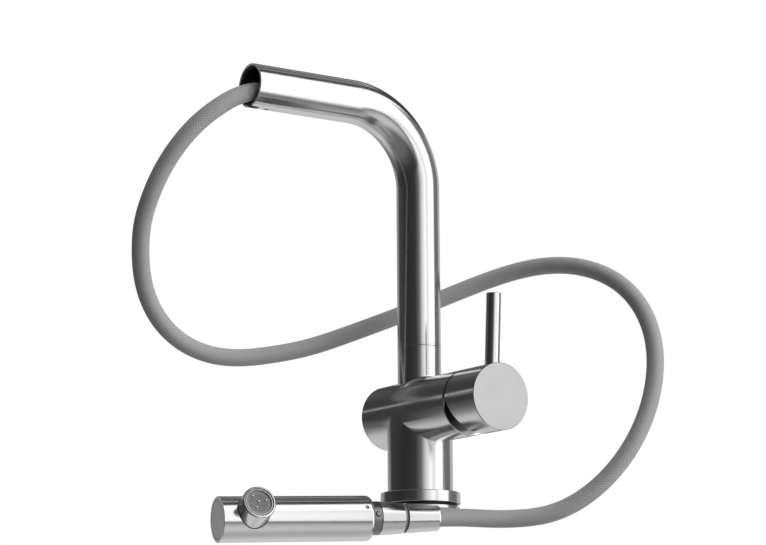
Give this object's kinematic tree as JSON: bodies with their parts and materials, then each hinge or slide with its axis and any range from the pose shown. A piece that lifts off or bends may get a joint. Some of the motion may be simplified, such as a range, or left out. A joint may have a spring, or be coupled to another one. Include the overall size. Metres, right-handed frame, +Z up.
{
  "type": "pull-out kitchen faucet",
  "caption": "Single-lever kitchen mixer with a swivelling L-shaped spout and a straight hand shower pulled out on a woven hose.",
  "frame": {"origin": "on the column axis, in the plane of the base ring's underside, which seats on the worktop", "axes": "+Z up the column, -Y along the spout towards its mouth, +X along the cross barrel towards the lever handle"},
  "size_m": [0.1764, 0.3101, 0.3025],
  "materials": {
    "steel": "fine brushed satin",
    "dark_steel": "satin, darker",
    "brass": "machined",
    "copper": "drawn copper pipe",
    "rubber": "matt black",
    "black_plastic": "matt",
    "grey_plastic": "fine textured",
    "white_plastic": "satin",
    "ceramic": "lapped",
    "braid": "woven nylon over rubber"
  },
  "bodies": {
    "mixer": {"base_ring": "steel", "base_gasket": "rubber", "base_flange": "steel", "base_insert": "brass", "hot_inlet_pipe": "copper", "cold_inlet_pipe": "copper", "mixed_outlet_pipe": "copper", "mixer_body": "steel", "barrel_rear_cap": "steel", "valve_seat": "brass", "valve_gasket": "rubber", "cartridge_housing": "grey_plastic", "fixed_ceramic_disc": "ceramic", "cartridge_nut": "steel", "swivel_spigot": "brass", "swivel_washer": "steel", "lower_swivel_bush": "white_plastic", "upper_swivel_bush": "white_plastic", "swivel_o_ring": "rubber"},
    "driver": {"cartridge_driver": "white_plastic", "stem_pin": "steel"},
    "disc": {"moving_ceramic_disc": "ceramic", "disc_carrier": "black_plastic"},
    "handle": {"cartridge_stem": "brass", "handle_hub": "brass", "handle_shell": "steel", "lever_pin": "steel", "handle_grub_screw": "dark_steel"},
    "spout": {"spout_tube": "steel", "spout_retaining_screw": "dark_steel", "docking_bush": "black_plastic", "bush_locating_screw": "dark_steel", "hose_inner_run": "braid", "pull_out_hose": "braid", "hose_cone": "steel", "hose_nipple": "brass"},
    "shower": {"inlet_nipple": "brass", "swivel_seal": "grey_plastic", "shower_collar": "steel", "shower_neck": "dark_steel", "locating_key": "dark_steel", "check_valve": "white_plastic", "shower_barrel": "steel", "barrel_locating_screw": "dark_steel", "shower_end_cap": "dark_steel", "water_block": "grey_plastic", "water_pipe": "white_plastic", "nozzle_barrel": "steel", "aerator_washer": "rubber", "aerator_housing": "grey_plastic", "aerator_screen": "grey_plastic"}
  },
  "joints": [
    {"name": "spout_swivel", "type": "hinge", "parent": "mixer", "child": "spout", "pos_m": [0, 0, 0.1061], "axis": [0, 0, 1], "range_deg": [-60, 60]},
    {"name": "temperature_turn", "type": "hinge", "parent": "mixer", "child": "driver", "pos_m": [0.044, 0, 0.0631], "axis": [1, 0, 0], "range_deg": [-45, 45]},
    {"name": "flow_tilt", "type": "hinge", "parent": "driver", "child": "handle", "pos_m": [0.044, 0, 0.0631], "axis": [0, 1, 0], "range_deg": [0, 25]},
    {"name": "disc_slide", "type": "slide", "parent": "driver", "child": "disc", "axis": [0, 0, 1], "range_m": [0, 0.0045]},
    {"name": "shower_swivel", "type": "hinge", "parent": "spout", "child": "shower", "pos_m": [0.0347, -0.0107, -0.0077], "axis": [-0.2163, -0.9757, -0.0358], "continuous": true}
  ],
  "couplings": [
    {"joint": "disc_slide", "follows": "flow_tilt", "m_per_rad": 0.01}
  ]
}
